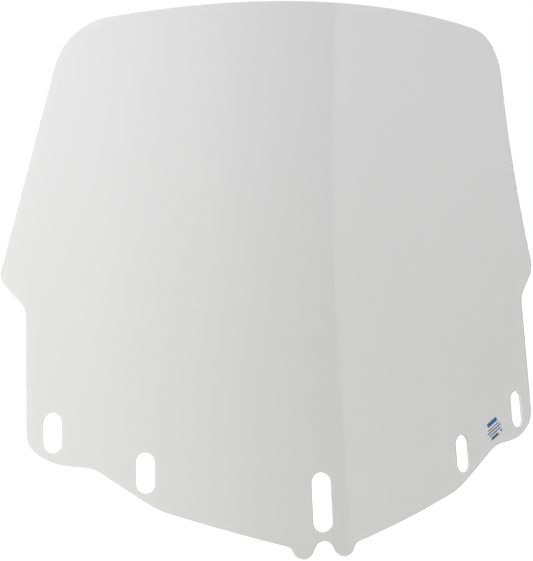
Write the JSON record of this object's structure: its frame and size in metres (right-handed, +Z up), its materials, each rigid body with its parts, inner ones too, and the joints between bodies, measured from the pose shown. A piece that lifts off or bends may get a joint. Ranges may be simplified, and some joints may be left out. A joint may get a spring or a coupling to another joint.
{
  "type": "motorcycle windshield screen",
  "caption": "Clear curved touring windshield screen with round shoulders, mounting slots and a notch along its lower edge, and a small plain label.",
  "frame": {"origin": "middle of the centre slot, on the front face of the sheet", "axes": "+Z up, +X along the width to the right as seen from the front, front face towards -Y, rider on the +Y side; symmetric about the plane X = 0 apart from the label"},
  "size_m": [0.6534, 0.1617, 0.6054],
  "materials": {
    "clear_acrylic": "polished",
    "label_film": "gloss",
    "ink_blue": "satin",
    "ink_dark": "satin"
  },
  "bodies": {
    "root": {"screen_panel": "clear_acrylic", "label_film": "label_film", "label_ink_blue": "ink_blue", "label_ink_dark": "ink_dark"}
  },
  "joints": []
}
